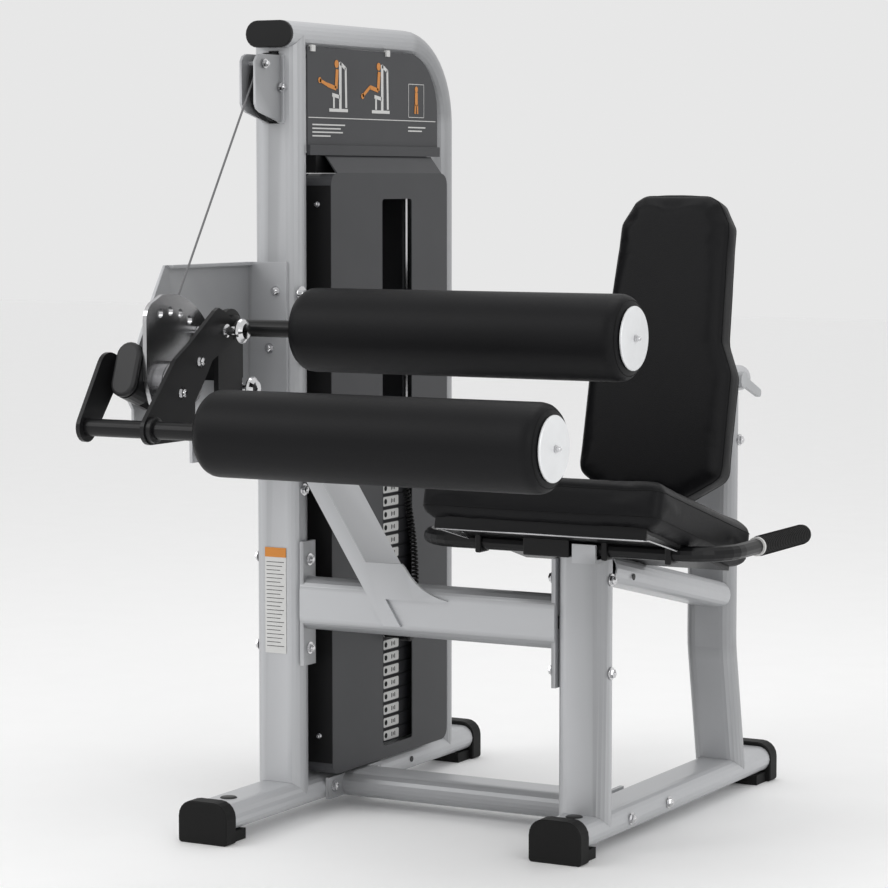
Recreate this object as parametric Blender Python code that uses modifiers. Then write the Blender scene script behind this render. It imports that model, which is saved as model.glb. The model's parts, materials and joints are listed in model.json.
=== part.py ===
"""Seated leg curl machine with a selector weight stack.

Frame used while modelling: X runs along the two rollers, away from the weight tower; Y runs
back from the front uprights; Z runs up from the floor.  X = 0 is the tower's middle plane and
Y = 0 is the middle of both front uprights.  The root empty then moves everything so that the
machine's origin is the bottom centre of its bounding box.
"""
import bpy
import bmesh
from math import acos, atan2, ceil, cos, hypot, pi, radians, sin
from mathutils import Matrix, Vector

# ---------------------------------------------------------------- driving dimensions (metres)
CENTRE_X, CENTRE_Y = 0.42615, 0.0819       # middle of the bounding box, in the modelling frame
GAP = 0.0003                               # clearance between touching pieces

TUBE_WIDE, TUBE_THICK, WALL = 0.100, 0.050, 0.003
BASE_LOW = 0.020                           # underside of the base tubes
BASE_MID = BASE_LOW + TUBE_THICK / 2
BASE_TOP = BASE_LOW + TUBE_THICK
TOWER_TOP = 1.500
TOWER_REAR_Y = 0.572
ARCH_FRONT_Y = -0.036
ARCH_RADIUS = 0.155                        # bend radius of the arch at the tube's middle
TOWER_BASE = (-0.262, 0.681)               # Y of the base tube's ends
SEAT_X = 0.636
SEAT_BASE = (-0.1015, 0.757)
SEAT_REAR_Y = 0.565
FOOT_WIDE, FOOT_TALL, FOOT_WALL, FOOT_LONG = 0.104, 0.078, 0.023, 0.086

CROSS_MID_Z = 0.4135                       # upper cross tube
CROSS_FLANGE = (0.295, 0.530)
LOW_CROSS_Y = 0.170
FLANGE = 0.008

PIVOT_Y, PIVOT_Z = -0.398, 0.846           # the lever's axis, along X
PIVOT_SHAFT_R = 0.0125
LEVER_TILT = radians(20.0)                 # the lever's tube rises this much towards the front
LEVER_X, LEVER_TALL, LEVER_REACH = (-0.0470, 0.0030), 0.100, 0.080
SIDE_PLATE_X = (-0.0600, -0.0540)
SECTOR_X = (0.0040, 0.0120)
SECTOR_R = 0.160
HOLE_CIRCLE, HOLE_R = 0.1295, 0.0082
HOLE_FIRST, HOLE_STEP, HOLE_COUNT = 45.6, 14.1, 5
DRUM_X = (-0.0180, 0.0220)
DRUM_R = 0.0415
CABLE_R = 0.0020
CABLE_PATH_R = DRUM_R + CABLE_R + 0.0006
WRAP_END = 300.0                           # the fixed run of cable ends under the drum here

ANKLE_Y, ANKLE_Z = -0.540, 0.778
THIGH_Y, THIGH_Z = -0.245, 0.941
ROLLER_R, ROLLER_BORE = 0.0762, 0.0175
ROLLER_END_R = 0.020
CAP_R, CAP_THICK = 0.0545, 0.004
ANKLE_ROLLER_X, THIGH_ROLLER_X = (0.190, 0.838), (0.199, 0.840)
ROLLER_SHAFT_R = 0.0155
ANKLE_PLATE_X = (0.062, 0.070)
FAR_PLATE_X = (-0.0710, -0.0630)

PULLEY_R, PULLEY_RIM = 0.060, 0.064       # cable line and flange
PULLEY_Z = 1.377
FRONT_PULLEY_Y = -0.033
STACK_Y = 0.286
INNER_PULLEY_Y = STACK_Y - PULLEY_R

PLATE_PITCH = 0.0258
STACK_LOW = 0.1001
RESTING, LIFTED = 8, 12
HEAD_THICK = 0.040
STACK_X, STACK_HALF_Y = 0.060, 0.2135
ROD_OFFSET, ROD_R = 0.194, 0.0110
SHROUD_X, SHROUD_Y, SHROUD_Z = (0.0200, 0.0775), (0.0515, 0.5065), (0.0755, 1.2180)
SLOT_Y, SLOT_Z = (0.245, 0.362), (0.100, 1.169)
TOP_BAR_Z = (1.172, 1.192)

SEAT_TILT = radians(16.2)
SEAT_SIZE = (0.480, 0.430, 0.078)
SEAT_TOP_MID = (SEAT_X, 0.0175, 0.6380)
HANDLE_Y, HANDLE_Z, HANDLE_R = -0.040, 0.555, 0.0140
HANDLE_X = (0.305, 0.912)
HANDLE_BEND, HANDLE_END_Y = 0.090, 0.330
GRIP_Y = (0.131, 0.346)
RAIL_FRONT, RAIL_REAR = (0.000, 0.519), (0.565, 0.398)
BACK_TILT = radians(13.5)
BACK_MID = (SEAT_X, 0.345, 0.900)
BACK_THICK = 0.066
SLIDE_Z = 0.820
SLIDE_Y = (0.500, 0.630)

STEEL_SEGMENTS = 28

# ---------------------------------------------------------------- scene and materials
for stale in list(bpy.data.objects):
    bpy.data.objects.remove(stale)

MACHINE = bpy.data.collections.new("seated_leg_curl")
CUTTERS = bpy.data.collections.new("cutters")
bpy.context.scene.collection.children.link(MACHINE)
bpy.context.scene.collection.children.link(CUTTERS)


def make_material(name, colour, roughness, metallic=0.0):
    material = bpy.data.materials.new(name)
    material.use_nodes = True
    shader = material.node_tree.nodes["Principled BSDF"]
    shader.inputs["Base Color"].default_value = (*colour, 1.0)
    shader.inputs["Roughness"].default_value = roughness
    shader.inputs["Metallic"].default_value = metallic
    return material


SILVER = make_material("silver_paint", (0.47, 0.47, 0.48), 0.35, 0.5)
BLACK = make_material("black_paint", (0.020, 0.020, 0.021), 0.35)
SHROUD = make_material("shroud_grey", (0.060, 0.061, 0.064), 0.45)
PAD = make_material("pad_vinyl", (0.014, 0.014, 0.015), 0.50)
RUBBER = make_material("rubber", (0.012, 0.012, 0.012), 0.75)
POLISHED = make_material("polished_steel", (0.62, 0.62, 0.63), 0.18, 1.0)
CHROME = make_material("chrome", (0.72, 0.72, 0.73), 0.08, 1.0)
BRUSHED = make_material("brushed_aluminium", (0.66, 0.67, 0.68), 0.30, 1.0)
IRON = make_material("cast_iron", (0.022, 0.022, 0.024), 0.60, 0.3)
NYLON = make_material("nylon", (0.030, 0.030, 0.032), 0.45)
CABLE = make_material("cable_coat", (0.30, 0.30, 0.30), 0.40)
PALE = make_material("pale_plastic", (0.55, 0.56, 0.57), 0.45)

# ---------------------------------------------------------------- pivots: one empty per axis


def make_empty(name, place, parent=None):
    empty = bpy.data.objects.new(name, None)
    empty.empty_display_size = 0.05
    empty.location = place
    empty.parent = parent
    MACHINE.objects.link(empty)
    return empty


ROOT = make_empty("machine_root", (-CENTRE_X, -CENTRE_Y, 0.0))
PIVOTS = {"root": (ROOT, Vector((0.0, 0.0, 0.0)))}


def make_pivot(name, place):
    PIVOTS[name] = (make_empty(name, place, ROOT), Vector(place))


make_pivot("lever_axis", (0.0, PIVOT_Y, PIVOT_Z))
make_pivot("ankle_axis", (0.0, ANKLE_Y, ANKLE_Z))
make_pivot("thigh_axis", (0.0, THIGH_Y, THIGH_Z))
make_pivot("front_pulley_axis", (0.0, FRONT_PULLEY_Y, PULLEY_Z))
make_pivot("inner_pulley_axis", (0.0, INNER_PULLEY_Y, PULLEY_Z))
make_pivot("stack_guide", (0.0, STACK_Y, STACK_LOW))
make_pivot("backrest_guide", (SEAT_X, SEAT_REAR_Y, SLIDE_Z))
make_pivot("backrest_lever_axis", (SEAT_X, 0.572, SLIDE_Z))

# ---------------------------------------------------------------- shape helpers
PLANES = {
    "XY": Matrix.Identity(3),
    "YZ": Matrix(((0, 0, 1), (1, 0, 0), (0, 1, 0))),      # outline x, y -> Y, Z; depth -> X
    "XZ": Matrix(((1, 0, 0), (0, 0, -1), (0, 1, 0))),     # outline x, y -> X, Z; depth -> -Y
}
AXIS_TURN = {"X": Matrix.Rotation(pi / 2, 3, "Y"), "Y": Matrix.Rotation(-pi / 2, 3, "X"),
             "Z": Matrix.Identity(3)}


def link(name, mesh, place, turn, material, pivot):
    """Link a mesh as a named piece; material None makes it a hidden cutter."""
    piece = bpy.data.objects.new(name, mesh)
    parent, origin = PIVOTS[pivot]
    piece.parent = parent
    piece.location = Vector(place) - origin
    piece.rotation_euler = turn.to_euler()
    if material is None:
        CUTTERS.objects.link(piece)
        piece.hide_render = True
        piece.display_type = "WIRE"
    else:
        MACHINE.objects.link(piece)
        mesh.materials.clear()
        mesh.materials.append(material)
    return piece


def bevel(piece, width, segments=2, angle=35.0):
    modifier = piece.modifiers.new("edge_rounding", "BEVEL")
    modifier.width = width
    modifier.segments = segments
    modifier.limit_method = "ANGLE"
    modifier.angle_limit = radians(angle)
    return piece


def boolean(piece, tool, operation="DIFFERENCE"):
    modifier = piece.modifiers.new(tool.name, "BOOLEAN")
    modifier.operation = operation
    modifier.object = tool
    return piece


def smooth(mesh, angle=35.0):
    mesh.shade_smooth()
    mesh.set_sharp_from_angle(angle=radians(angle))


def box(name, low, high, material=None, pivot="root", turn=None, edge=0.0):
    """Box between two corners, turned about its own middle."""
    low, high = Vector(low), Vector(high)
    mesh = bpy.data.meshes.new(name)
    shape = bmesh.new()
    bmesh.ops.create_cube(shape, size=1.0)
    bmesh.ops.scale(shape, vec=high - low, verts=shape.verts)
    shape.to_mesh(mesh)
    shape.free()
    piece = link(name, mesh, (low + high) / 2, turn or Matrix.Identity(3), material, pivot)
    if edge:
        bevel(piece, edge)
    return piece


def rod(name, axis, start, end, centre, radius, material=None, pivot="root",
        segments=STEEL_SEGMENTS, edge=0.0):
    """Cylinder along a world axis; centre gives the other two coordinates in X, Y, Z order."""
    mesh = bpy.data.meshes.new(name)
    shape = bmesh.new()
    bmesh.ops.create_cone(shape, cap_ends=True, segments=segments, radius1=radius,
                          radius2=radius, depth=end - start)
    shape.to_mesh(mesh)
    shape.free()
    smooth(mesh)
    place = list(centre)
    place.insert("XYZ".index(axis), (start + end) / 2)
    piece = link(name, mesh, place, AXIS_TURN[axis], material, pivot)
    if edge:
        bevel(piece, edge)
    return piece


def turned(name, profile, place, material=None, pivot="root", steps=40, closed=False):
    """Turn (radius, offset along X) points about the X axis.

    The points run from the start of the piece to its far end along the outer side."""
    mesh = bpy.data.meshes.new(name)
    points = [(radius, 0.0, -offset) for radius, offset in profile]
    edges = [(index, index + 1) for index in range(len(points) - 1)]
    if closed:
        edges.append((len(points) - 1, 0))
    mesh.from_pydata(points, edges, [])
    piece = link(name, mesh, place, Matrix.Rotation(-pi / 2, 3, "Y"), material, pivot)
    screw = piece.modifiers.new("turning", "SCREW")
    screw.angle = 2 * pi
    screw.steps = steps
    screw.render_steps = steps
    screw.use_merge_vertices = True
    screw.merge_threshold = 0.00001
    screw.use_smooth_shade = True
    screw.use_normal_calculate = not closed
    return piece


def poly_curve(name, points, dimensions, cyclic):
    curve = bpy.data.curves.new(name, "CURVE")
    curve.dimensions = dimensions
    spline = curve.splines.new("POLY")
    spline.points.add(len(points) - 1)
    for knot, point in zip(spline.points, points):
        knot.co = (*point, 0.0, 1.0) if len(point) == 2 else (*point, 1.0)
    spline.use_cyclic_u = cyclic
    return curve


def curve_mesh(name, curve):
    """The evaluated mesh of a curve, with its caps welded on."""
    holder = bpy.data.objects.new(name, curve)
    CUTTERS.objects.link(holder)
    graph = bpy.context.evaluated_depsgraph_get()
    mesh = bpy.data.meshes.new_from_object(holder.evaluated_get(graph))
    bpy.data.objects.remove(holder)
    shape = bmesh.new()
    shape.from_mesh(mesh)
    bmesh.ops.remove_doubles(shape, verts=shape.verts, dist=0.00005)
    bmesh.ops.recalc_face_normals(shape, faces=shape.faces)
    shape.to_mesh(mesh)
    shape.free()
    mesh.name = name
    return mesh


def plate(name, outline, plane, low, high, material=None, pivot="root", centre=(0.0, 0.0),
          edge=0.0):
    """Flat piece from a closed outline in a world plane, between two depths across it."""
    half, count = (high - low) / 2, len(outline)
    corners = [(x, y, depth) for depth in (-half, half) for x, y in outline]
    faces = [list(range(count))[::-1], list(range(count, 2 * count))]
    faces += [(index, (index + 1) % count, (index + 1) % count + count, index + count)
              for index in range(count)]
    mesh = bpy.data.meshes.new(name)
    mesh.from_pydata(corners, [], faces)
    shape = bmesh.new()
    shape.from_mesh(mesh)
    bmesh.ops.remove_doubles(shape, verts=shape.verts, dist=0.00002)
    bmesh.ops.recalc_face_normals(shape, faces=shape.faces)
    shape.to_mesh(mesh)
    shape.free()
    place = list(centre)
    place.insert({"XY": 2, "YZ": 0, "XZ": 1}[plane], (low + high) / 2)
    piece = link(name, mesh, place, PLANES[plane], material, pivot)
    if edge:
        bevel(piece, edge, segments=1, angle=60.0)
    return piece


def round_tube(name, points, radius, material, pivot="root", resolution=3):
    """Round bar along a 3D line of points."""
    curve = poly_curve(name, points, "3D", False)
    curve.bevel_depth = radius
    curve.bevel_resolution = resolution
    curve.use_fill_caps = True
    mesh = curve_mesh(name, curve)
    smooth(mesh)
    origin = PIVOTS[pivot][1]
    mesh.transform(Matrix.Translation(-origin))
    return link(name, mesh, origin, Matrix.Identity(3), material, pivot)


def oval(wide, tall, steps=5):
    """Flat-oval outline: two half circles joined by straight sides, tall along y."""
    radius = min(wide, tall) / 2
    reach_x, reach_y = wide / 2 - radius, tall / 2 - radius
    points = []
    for index in range(4 * steps + 4):
        quarter, part = divmod(index, steps + 1)
        angle = (quarter + part / steps) * pi / 2
        middle = (quarter + 0.5) * pi / 2
        side_x = 1 if cos(middle) > 0 else -1
        side_y = 1 if sin(middle) > 0 else -1
        point = (side_x * reach_x + radius * cos(angle), side_y * reach_y + radius * sin(angle))
        if not points or hypot(point[0] - points[-1][0], point[1] - points[-1][1]) > 1e-6:
            points.append(point)
    if hypot(points[0][0] - points[-1][0], points[0][1] - points[-1][1]) < 1e-6:
        points.pop()
    return points


def oval_tube(name, path, plane, depth, material=None, in_plane=TUBE_THICK, across=TUBE_WIDE,
              wall=WALL, grow=0.0):
    """Flat-oval tube swept along a path in a world plane.

    in_plane and across are the section's sizes in that plane and square to it.  With no
    material it is a solid cutter, grown all round by grow."""
    profile = bpy.data.objects.new(name + "_section", poly_curve(
        name + "_section", oval(in_plane + 2 * grow, across + 2 * grow), "2D", True))
    CUTTERS.objects.link(profile)
    curve = poly_curve(name, path, "2D", False)
    curve.bevel_mode = "OBJECT"
    curve.bevel_object = profile
    curve.use_fill_caps = material is None
    curve.fill_mode = "NONE"
    mesh = curve_mesh(name, curve)
    bpy.data.objects.remove(profile)
    smooth(mesh)
    place = [0.0, 0.0]
    place.insert({"XY": 2, "YZ": 0, "XZ": 1}[plane], depth)
    piece = link(name, mesh, place, PLANES[plane], material, "root")
    if material is not None:
        shell = piece.modifiers.new("wall", "SOLIDIFY")
        shell.thickness = wall
        shell.offset = -1.0
    return piece


def arc(centre, radius, first, last, count):
    """Points on an arc, angles in degrees from the outline's first axis."""
    turn = (last - first) / count
    return [(centre[0] + radius * cos(radians(first + turn * step)),
             centre[1] + radius * sin(radians(first + turn * step)))
            for step in range(count + 1)]


def belt(circles, step=18.0):
    """Outline of a belt pulled tight round circles given counter-clockwise."""
    points = []
    count = len(circles)
    normals = []
    for index in range(count):
        (ax, ay, ar), (bx, by, br) = circles[index], circles[(index + 1) % count]
        heading = atan2(by - ay, bx - ax)
        normals.append(heading - acos((ar - br) / hypot(bx - ax, by - ay)))
    for index in range(count):
        x, y, radius = circles[index]
        first, last = normals[index - 1], normals[index]
        while last < first:
            last += 2 * pi
        parts = max(1, ceil((last - first) / radians(step)))
        points += [(x + radius * cos(first + (last - first) * part / parts),
                    y + radius * sin(first + (last - first) * part / parts))
                   for part in range(parts + 1)]
    return points


def from_pivot(radius, degrees):
    """Y and Z of a point given in polar form about the lever's axis."""
    return (PIVOT_Y + radius * cos(radians(degrees)), PIVOT_Z + radius * sin(radians(degrees)))


# ---------------------------------------------------------------- frame
def arch_path():
    """Y, Z line of the arch: level along the top, round the bend and down behind."""
    level = TOWER_TOP - TUBE_THICK / 2
    bend_y, bend_z = TOWER_REAR_Y - ARCH_RADIUS, level - ARCH_RADIUS
    bend = arc((bend_y, bend_z), ARCH_RADIUS, 90.0, 0.0, 12)
    return [(ARCH_FRONT_Y, level), *bend, (TOWER_REAR_Y, BASE_MID)]


def build_base(name, x, ends):
    """A base tube lying flat, and a solid copy a hair bigger that copes what stands on it."""
    oval_tube(name, [(ends[0], BASE_MID), (ends[1], BASE_MID)], "YZ", x, SILVER)
    longer = [(ends[0] - GAP, BASE_MID), (ends[1] + GAP, BASE_MID)]
    return oval_tube(name + "_cope", longer, "YZ", x, grow=GAP)


def build_foot(name, x, end_y, outward, base_solid):
    """Rubber boot over a base tube's end, with a pad that runs back under the tube."""
    front = end_y + outward * FOOT_WALL
    shell_back = end_y - outward * 0.012
    pad_back = front - outward * FOOT_LONG
    half = FOOT_WIDE / 2
    foot = plate(name, belt([(x - half + 0.006, 0.006, 0.006), (x + half - 0.006, 0.006, 0.006),
                             (x + half - 0.030, FOOT_TALL - 0.030, 0.030),
                             (x - half + 0.030, FOOT_TALL - 0.030, 0.030)]),
                 "XZ", min(front, shell_back), max(front, shell_back), RUBBER, edge=0.002)
    pad = box(name + "_pad", (x - half + 0.010, min(front, pad_back) + 0.004, 0.0),
              (x + half - 0.010, max(front, pad_back) - 0.004, BASE_LOW - GAP))
    boolean(foot, pad, "UNION")
    boolean(foot, base_solid)
    return foot


def build_frame():
    tower_cope = build_base("tower_base_tube", 0.0, TOWER_BASE)
    seat_cope = build_base("seat_base_tube", SEAT_X, SEAT_BASE)
    build_foot("tower_foot_front", 0.0, TOWER_BASE[0], -1, tower_cope)
    build_foot("tower_foot_rear", 0.0, TOWER_BASE[1], 1, tower_cope)
    build_foot("seat_foot_front", SEAT_X, SEAT_BASE[0], -1, seat_cope)
    build_foot("seat_foot_rear", SEAT_X, SEAT_BASE[1], 1, seat_cope)

    arch = oval_tube("arch_tube", arch_path(), "YZ", 0.0, SILVER)
    boolean(arch, tower_cope)
    arch_cope = oval_tube("arch_cope", arch_path(), "YZ", 0.0, grow=GAP)
    plug = arch_plug("arch_end_plug")
    boolean(plug, arch_cope)

    front = oval_tube("tower_front_upright", [(0.0, BASE_MID), (0.0, TOWER_TOP - 0.0255)], "YZ",
                      0.0, SILVER)
    boolean(front, tower_cope)
    boolean(front, arch_cope)
    slot = box("pulley_slot", (-0.0110, -0.040, PULLEY_Z - 0.067), (0.0110, 0.040, PULLEY_Z + 0.067))
    boolean(front, slot)

    seat_front = oval_tube("seat_front_upright", [(0.0, BASE_MID), (0.0, 0.537)], "YZ",
                           SEAT_X, SILVER)
    bracket = box("seat_bracket", (0.638, HANDLE_Y - 0.0225, 0.5300), (0.684, HANDLE_Y - 0.0165, 0.5640))
    shelf = box("seat_bracket_shelf", (0.638, HANDLE_Y - 0.0225, 0.5300), (0.684, 0.0, 0.5368))
    boolean(seat_front, bracket, "UNION")
    boolean(seat_front, shelf, "UNION")
    boolean(seat_front, seat_cope)
    rear_path = [(SEAT_REAR_Y + 0.050, BASE_MID), (SEAT_REAR_Y + 0.005, 0.275),
                 (SEAT_REAR_Y + 0.001, 0.300), (SEAT_REAR_Y, 0.325), (SEAT_REAR_Y, SLIDE_Z - 0.01)]
    seat_rear = oval_tube("seat_rear_upright", rear_path, "YZ", SEAT_X, SILVER)
    sleeve_line = [(SLIDE_Y[0], SLIDE_Z), (SLIDE_Y[1], SLIDE_Z)]
    sleeve = oval_tube("backrest_sleeve", sleeve_line, "YZ", SEAT_X)
    hollow = box("backrest_sleeve_hollow", (SEAT_X - 0.0286, 0.45, SLIDE_Z - 0.0186),
                 (SEAT_X + 0.0286, 0.70, SLIDE_Z + 0.0186))
    boolean(seat_rear, sleeve, "UNION")
    boolean(seat_rear, hollow)
    boolean(seat_rear, seat_cope)

    rail = oval_tube("seat_rail", [RAIL_FRONT, RAIL_REAR], "YZ", SEAT_X, SILVER)
    reach = box("rail_reach", (SEAT_X - 0.08, 0.025 + GAP, 0.2),
                (SEAT_X + 0.08, SEAT_REAR_Y - 0.025 - GAP, 0.7))
    boolean(rail, reach, "INTERSECT")


def arch_plug(name):
    """Black plug in the arch's front end."""
    level = TOWER_TOP - TUBE_THICK / 2
    section = [(x, z + level) for x, z in oval(TUBE_WIDE, TUBE_THICK)]
    return plate(name, section, "XZ", ARCH_FRONT_Y - 0.0075, ARCH_FRONT_Y - GAP, BLACK, edge=0.0012)


def build_cross(name, depth, centre_z, tall, thick, flange_z, flange_half):
    """Cross tube between the uprights with an open flange at each end, as one weldment."""
    low, high = TUBE_WIDE / 2 + GAP, SEAT_X - TUBE_WIDE / 2 - GAP
    tube = oval_tube(name, [(low + 0.001, centre_z), (high - 0.001, centre_z)], "XZ", depth,
                     SILVER, in_plane=tall, across=thick)
    hollow = box(name + "_hollow", (low - 0.01, depth - 0.012, centre_z - 0.012),
                 (high + 0.01, depth + 0.012, centre_z + 0.012))
    for side, start in (("near", low), ("far", high - FLANGE)):
        flange = box(name + "_flange_" + side, (start, depth - flange_half, flange_z[0]),
                     (start + FLANGE, depth + flange_half, flange_z[1]))
        boolean(tube, flange, "UNION")
    boolean(tube, hollow)
    return tube


def build_cross_tubes():
    build_cross("upper_cross_tube", 0.0, CROSS_MID_Z, TUBE_WIDE, TUBE_THICK, CROSS_FLANGE, 0.022)
    build_cross("lower_cross_tube", LOW_CROSS_Y, BASE_MID, TUBE_THICK, TUBE_WIDE,
                (BASE_LOW + 0.004, BASE_TOP - 0.004), 0.100)


# ---------------------------------------------------------------- side plate and brace
def build_side_plate():
    """Guard plate that carries the lever's axis, with a flange across the front of the tower."""
    outline = [(-0.0313, 0.690), (-0.0313, 1.053), (-0.309, 1.053), (-0.344, 1.000)]
    outline += [from_pivot(0.034, 130.0 + 20.0 * step) for step in range(4)]
    outline += [(-0.424, 0.815), (-0.412, 0.800), (-0.412, 0.762), (-0.305, 0.772), (-0.242, 0.803),
                (-0.228, 0.795), (-0.226, 0.690)]
    panel = plate("pivot_side_plate", outline, "YZ", *SIDE_PLATE_X, SILVER)
    flange = box("side_plate_flange", (SIDE_PLATE_X[0], -0.0313, 0.690), (0.0290, -0.0253, 1.053))
    top_lip = box("side_plate_lip", (SIDE_PLATE_X[0], -0.300, 1.047), (-0.044, -0.0283, 1.053))
    housing = rod("pivot_housing", "X", SIDE_PLATE_X[1] - 0.002, -0.0475, (PIVOT_Y, PIVOT_Z), 0.030)
    for part in (flange, top_lip, housing):
        boolean(panel, part, "UNION")
    boolean(panel, pivot_bore("side_plate_bore", "root"))


def pivot_bore(name, pivot):
    return rod(name, "X", -0.12, 0.0610, (PIVOT_Y, PIVOT_Z), PIVOT_SHAFT_R + GAP, pivot=pivot)


def build_brace():
    """Bent brace from the tower to the upper cross tube, with its strip and gusset."""
    cross_top = CROSS_MID_Z + TUBE_WIDE / 2
    lean = (-0.162 / 0.255)

    def at(x_at_base, z):
        return (x_at_base + lean * (z - 0.385), z)

    near = TUBE_WIDE / 2 + GAP
    strip = plate("pivot_brace", [at(0.236, 0.385), at(0.272, 0.385), (near, 0.735), (near, 0.678)],
                  "XZ", -0.0315, -0.0253, SILVER)
    web = plate("brace_web", [at(0.266, cross_top + 0.001), at(0.272, cross_top + 0.001),
                              (near, 0.735), (near, 0.7255)], "XZ", -0.0300, 0.085)
    cover_room = box("brace_cover_room", (0.040, 0.045, 0.60), (0.0790, 0.100, 0.80))
    gusset = plate("brace_gusset", [at(0.268, 0.435), (0.300, 0.4345), (0.354, 0.434),
                                    (0.370, 0.439), (0.352, 0.443), (0.335, 0.449), (0.319, 0.457),
                                    (0.306, 0.466), (0.292, 0.480), (0.281, 0.495), (0.274, 0.502),
                                    at(0.268, 0.501)], "XZ", -0.0315, -0.0253)
    boolean(strip, web, "UNION")
    boolean(strip, gusset, "UNION")
    boolean(strip, cover_room)


# ---------------------------------------------------------------- lever: cam side
def sector_outline():
    """Cam plate about the axis: a wide arc, an upright front with a round corner, a round foot."""
    front, corner_r = -0.0705, 0.035
    foot = arc((0.0, 0.0), 0.0620, 195.0, 345.0, 12)
    top = arc((0.0, 0.0), SECTOR_R, 41.0, 97.0, 12)
    corner = arc((front + corner_r, 0.115), corner_r, 105.0, 180.0, 5)
    return foot + [(0.121, 0.105)] + top + corner + [(front, 0.010)]


def build_cam():
    centre = (PIVOT_Y, PIVOT_Z)
    cam = plate("cam", sector_outline(), "YZ", *SECTOR_X, POLISHED, "lever_axis", centre)
    drum = rod("cam_drum", "X", *DRUM_X, centre, DRUM_R, None, "lever_axis", 40)
    boolean(cam, drum, "UNION")
    for index in range(HOLE_COUNT):
        place = from_pivot(HOLE_CIRCLE, HOLE_FIRST + HOLE_STEP * index)
        hole = rod("sector_hole_%d" % index, "X", 0.0, 0.04, place, HOLE_R, None, "lever_axis", 20)
        boolean(cam, hole)
    boolean(cam, pivot_bore("cam_bore", "lever_axis"))
    wound = [(-0.0045, *from_pivot(CABLE_PATH_R, WRAP_END - 68.0 + 8.5 * step)) for step in range(9)]
    round_tube("cam_cable", wound, CABLE_R, CABLE, "lever_axis", 1)


# ---------------------------------------------------------------- lever: ankle side
def lever_point(along, across=0.0):
    """Y and Z of a point along the lever tube's line, and square to it."""
    return (PIVOT_Y - along * cos(LEVER_TILT) + across * sin(LEVER_TILT),
            PIVOT_Z + along * sin(LEVER_TILT) + across * cos(LEVER_TILT))


def build_lever_tube():
    """Flat-oval bar of the lever; its inner half reaches the axis beside the cam."""
    middle = (LEVER_X[0] + LEVER_X[1]) / 2
    wide = LEVER_X[1] - LEVER_X[0]
    section = oval(wide, LEVER_TALL)
    bar = plate("lever_tube", section, "XZ", 0.0, LEVER_REACH, BLACK, "lever_axis")
    tilt = Matrix.Rotation(-LEVER_TILT, 3, "X") @ PLANES["XZ"]
    bar.location = Vector((middle, *lever_point(LEVER_REACH / 2))) - PIVOTS["lever_axis"][1]
    bar.rotation_euler = tilt.to_euler()
    smooth(bar.data)
    notch = box("cam_notch", (-0.0190, PIVOT_Y - 0.0505, 0.6), (0.1, PIVOT_Y + 0.1, 1.1),
                pivot="lever_axis")
    boolean(bar, notch)
    boolean(bar, pivot_bore("lever_bore", "lever_axis"))
    cap = plate("lever_tube_cap", section, "XZ", -0.007, 0.007, NYLON, "lever_axis")
    cap.location = Vector((middle, *lever_point(LEVER_REACH + 0.0073))) - PIVOTS["lever_axis"][1]
    cap.rotation_euler = tilt.to_euler()
    bevel(cap, 0.006, 3)


def near_plate_outline():
    pin = from_pivot(HOLE_CIRCLE, HOLE_FIRST)
    outline = arc((ANKLE_Y, ANKLE_Z), 0.026, 130.0, 262.0, 8)
    outline += [(-0.410, 0.752), (-0.405, 0.775), (-0.404, 0.819), (-0.377, 0.849), (-0.347, 0.888)]
    outline += arc(pin, 0.031, 290.0, 420.0, 8)
    return outline + [(-0.312, 0.975), (-0.325, 0.980), (-0.337, 0.975), (-0.420, 0.920),
                      (-0.463, 0.896)]


def build_ankle_lever():
    axis = "lever_axis"
    pin = from_pivot(HOLE_CIRCLE, HOLE_FIRST)
    near = plate("ankle_plate_near", near_plate_outline(), "YZ", *ANKLE_PLATE_X, BLACK, axis)
    elbow = lever_point(0.078)
    far = plate("ankle_plate_far", belt([(*elbow, 0.032), (ANKLE_Y, ANKLE_Z, 0.026)]), "YZ",
                *FAR_PLATE_X, BLACK, axis)
    link_plate = plate("ankle_plate_far_link", belt([(PIVOT_Y, PIVOT_Z, 0.032), (*elbow, 0.032)]),
                       "YZ", *FAR_PLATE_X, None, axis)
    boolean(far, link_plate, "UNION")
    shaft_bore = rod("ankle_shaft_bore", "X", -0.10, 0.10, (ANKLE_Y, ANKLE_Z),
                     ROLLER_SHAFT_R + GAP, pivot=axis)
    pin_bore = rod("start_pin_bore", "X", 0.02, 0.10, pin, 0.0062 + GAP, pivot=axis, segments=20)
    boolean(near, shaft_bore)
    boolean(near, pin_bore)
    boolean(far, shaft_bore)
    boolean(far, pivot_bore("far_plate_bore", axis))
    bore_r = PIVOT_SHAFT_R + GAP
    profile = [(bore_r, 0.0240), (0.0420, 0.0240), (0.0420, 0.0300), (0.0360, 0.0310),
               (0.0300, 0.0340), (0.0300, 0.0617), (bore_r, 0.0617)]
    turned("ankle_hub", profile, (0.0, PIVOT_Y, PIVOT_Z), POLISHED, axis, closed=True)
    rod("ankle_shaft", "X", FAR_PLATE_X[0] - 0.001, ANKLE_ROLLER_X[1] - 0.004, (ANKLE_Y, ANKLE_Z),
        ROLLER_SHAFT_R, BLACK, "ankle_axis", edge=0.001)


def roller_profile(start, end):
    """Pad section: a bore, flat ends and rounded shoulders."""
    inner = arc((start + ROLLER_END_R, ROLLER_R - ROLLER_END_R), ROLLER_END_R, 180.0, 90.0, 5)
    outer = arc((end - ROLLER_END_R, ROLLER_R - ROLLER_END_R), ROLLER_END_R, 90.0, 0.0, 5)
    points = [(ROLLER_BORE, start)] + [(r, x) for x, r in inner]
    return points + [(r, x) for x, r in outer] + [(ROLLER_BORE, end)]


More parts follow.
